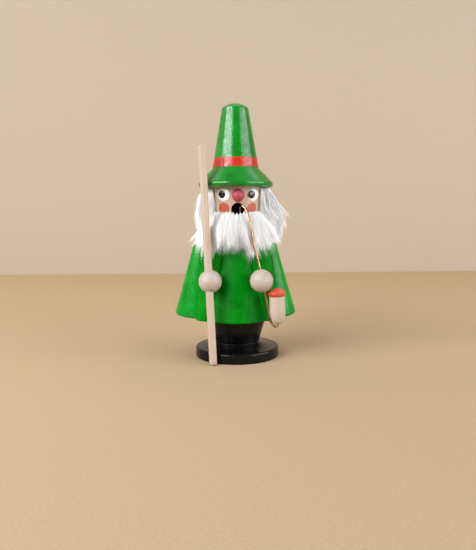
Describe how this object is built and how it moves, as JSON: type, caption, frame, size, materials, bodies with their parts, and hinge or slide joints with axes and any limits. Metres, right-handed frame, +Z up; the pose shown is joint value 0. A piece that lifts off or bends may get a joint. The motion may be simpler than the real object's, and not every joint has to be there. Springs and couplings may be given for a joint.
{
  "type": "incense smoker figure",
  "caption": "Turned wooden gnome figure in coat and pointed hat with staff and pipe; its hollow coat lifts off a stem to take an incense cone that smokes through the mouth.",
  "frame": {"origin": "middle of the base disc's underside, on the figure's turning axis", "axes": "+Z up along the turning axis, -Y towards the viewer that the coat faces, +X to the pipe side"},
  "size_m": [0.0868, 0.0604, 0.1704],
  "materials": {
    "black_lacquer": "satin black lacquer on turned wood",
    "green_lacquer": "glossy green lacquer on turned wood, fine grain showing",
    "bare_wood": "clear satin lacquer on pale turned wood",
    "staff_wood": "plain sawn and sanded strip",
    "red_lacquer": "glossy red lacquer",
    "nose_lacquer": "glossy crimson lacquer",
    "cream_wood": "clear lacquer on pale turned wood",
    "copper_wire": "drawn bright wire",
    "plate_brass": "pressed sheet",
    "nail_steel": "drawn wire",
    "white_fur": "long soft white fur"
  },
  "bodies": {
    "base": {"base_disc": "black_lacquer", "leg_stem": "black_lacquer", "plate_nail": "nail_steel"},
    "burner_plate": {"incense_plate": "plate_brass"},
    "figure": {"coat_body": "green_lacquer", "staff_side_arm": "green_lacquer", "pipe_side_arm": "green_lacquer", "staff_side_sleeve": "green_lacquer", "pipe_side_sleeve": "green_lacquer", "staff_arm_dowel": "bare_wood", "pipe_arm_dowel": "bare_wood", "staff_sleeve_dowel": "bare_wood", "pipe_sleeve_dowel": "bare_wood", "staff_hand": "bare_wood", "pipe_hand": "bare_wood", "staff_hand_peg": "bare_wood", "pipe_hand_peg": "bare_wood", "pipe_wire": "copper_wire", "pipe_bowl": "cream_wood", "pipe_lid": "red_lacquer", "head": "bare_wood", "nose": "nose_lacquer", "hat": "green_lacquer", "beard_fur": "white_fur", "staff_side_hair": "white_fur", "pipe_side_hair": "white_fur"},
    "staff_body": {"staff": "staff_wood"}
  },
  "joints": [
    {"name": "figure_turn", "type": "hinge", "parent": "base", "child": "burner_plate", "pos_m": [0, 0, 0.0322], "axis": [0, 0, 1], "continuous": true},
    {"name": "figure_lift", "type": "slide", "parent": "burner_plate", "child": "figure", "axis": [0, 0, 1], "range_m": [0, 0.06]},
    {"name": "staff_slide", "type": "slide", "parent": "figure", "child": "staff_body", "axis": [-0.0415, 0.0755, 0.9963], "range_m": [0, 0.04]}
  ]
}
